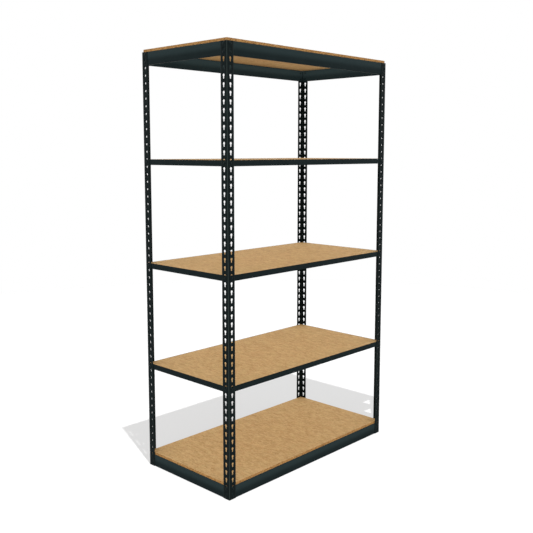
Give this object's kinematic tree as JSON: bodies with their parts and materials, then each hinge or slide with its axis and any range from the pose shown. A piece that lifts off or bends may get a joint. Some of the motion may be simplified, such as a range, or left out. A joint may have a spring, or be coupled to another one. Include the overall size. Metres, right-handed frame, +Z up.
{
  "type": "boltless steel shelving",
  "caption": "Free-standing boltless shelving: slotted angle posts, riveted steel beams hooked into keyholes, and particleboard decks.",
  "frame": {"origin": "on the floor at the middle of the footprint", "axes": "+Z up, +X along the long side, -Y is the front"},
  "size_m": [1.2366, 0.6246, 2.172],
  "materials": {
    "powder_coated_steel": "satin dark grey-green powder coat",
    "coated_rivet": "satin dark grey-green coat, slightly smoother than the beams",
    "particleboard": "raw sanded particleboard, matt"
  },
  "bodies": {
    "posts": {"post_front_left": "powder_coated_steel", "post_front_right": "powder_coated_steel", "post_back_right": "powder_coated_steel", "post_back_left": "powder_coated_steel"},
    "bottom_level": {"bottom_beam_front": "powder_coated_steel", "bottom_beam_right": "powder_coated_steel", "bottom_beam_back": "powder_coated_steel", "bottom_beam_left": "powder_coated_steel"},
    "bottom_deck_body": {"bottom_deck": "particleboard"},
    "second_level": {"second_beam_front": "powder_coated_steel", "second_rivet_front_1": "coated_rivet", "second_rivet_front_2": "coated_rivet", "second_beam_right": "powder_coated_steel", "second_rivet_right_1": "coated_rivet", "second_rivet_right_2": "coated_rivet", "second_beam_back": "powder_coated_steel", "second_rivet_back_1": "coated_rivet", "second_rivet_back_2": "coated_rivet", "second_beam_left": "powder_coated_steel", "second_rivet_left_1": "coated_rivet", "second_rivet_left_2": "coated_rivet"},
    "second_deck_body": {"second_deck": "particleboard"},
    "third_level": {"third_beam_front": "powder_coated_steel", "third_rivet_front_1": "coated_rivet", "third_rivet_front_2": "coated_rivet", "third_beam_right": "powder_coated_steel", "third_rivet_right_1": "coated_rivet", "third_rivet_right_2": "coated_rivet", "third_beam_back": "powder_coated_steel", "third_rivet_back_1": "coated_rivet", "third_rivet_back_2": "coated_rivet", "third_beam_left": "powder_coated_steel", "third_rivet_left_1": "coated_rivet", "third_rivet_left_2": "coated_rivet"},
    "third_deck_body": {"third_deck": "particleboard"},
    "fourth_level": {"fourth_beam_front": "powder_coated_steel", "fourth_rivet_front_1": "coated_rivet", "fourth_rivet_front_2": "coated_rivet", "fourth_beam_right": "powder_coated_steel", "fourth_rivet_right_1": "coated_rivet", "fourth_rivet_right_2": "coated_rivet", "fourth_beam_back": "powder_coated_steel", "fourth_rivet_back_1": "coated_rivet", "fourth_rivet_back_2": "coated_rivet", "fourth_beam_left": "powder_coated_steel", "fourth_rivet_left_1": "coated_rivet", "fourth_rivet_left_2": "coated_rivet"},
    "fourth_deck_body": {"fourth_deck": "particleboard"},
    "top_level": {"top_beam_front": "powder_coated_steel", "top_beam_right": "powder_coated_steel", "top_beam_back": "powder_coated_steel", "top_beam_left": "powder_coated_steel"},
    "top_deck_body": {"top_deck": "particleboard"}
  },
  "joints": [
    {"name": "bottom_level_unhook", "type": "slide", "parent": "posts", "child": "bottom_level", "axis": [0, 0, 1], "range_m": [0, 0.0127]},
    {"name": "bottom_deck_lift", "type": "slide", "parent": "bottom_level", "child": "bottom_deck_body", "axis": [0, 0, 1], "range_m": [0, 0.4]},
    {"name": "second_level_unhook", "type": "slide", "parent": "posts", "child": "second_level", "axis": [0, 0, 1], "range_m": [0, 0.0127]},
    {"name": "second_deck_lift", "type": "slide", "parent": "second_level", "child": "second_deck_body", "axis": [0, 0, 1], "range_m": [0, 0.4]},
    {"name": "third_level_unhook", "type": "slide", "parent": "posts", "child": "third_level", "axis": [0, 0, 1], "range_m": [0, 0.0127]},
    {"name": "third_deck_lift", "type": "slide", "parent": "third_level", "child": "third_deck_body", "axis": [0, 0, 1], "range_m": [0, 0.4]},
    {"name": "fourth_level_unhook", "type": "slide", "parent": "posts", "child": "fourth_level", "axis": [0, 0, 1], "range_m": [0, 0.0127]},
    {"name": "fourth_deck_lift", "type": "slide", "parent": "fourth_level", "child": "fourth_deck_body", "axis": [0, 0, 1], "range_m": [0, 0.4]},
    {"name": "top_level_unhook", "type": "slide", "parent": "posts", "child": "top_level", "axis": [0, 0, 1], "range_m": [0, 0.0127]},
    {"name": "top_deck_lift", "type": "slide", "parent": "top_level", "child": "top_deck_body", "axis": [0, 0, 1], "range_m": [0, 0.4]}
  ]
}
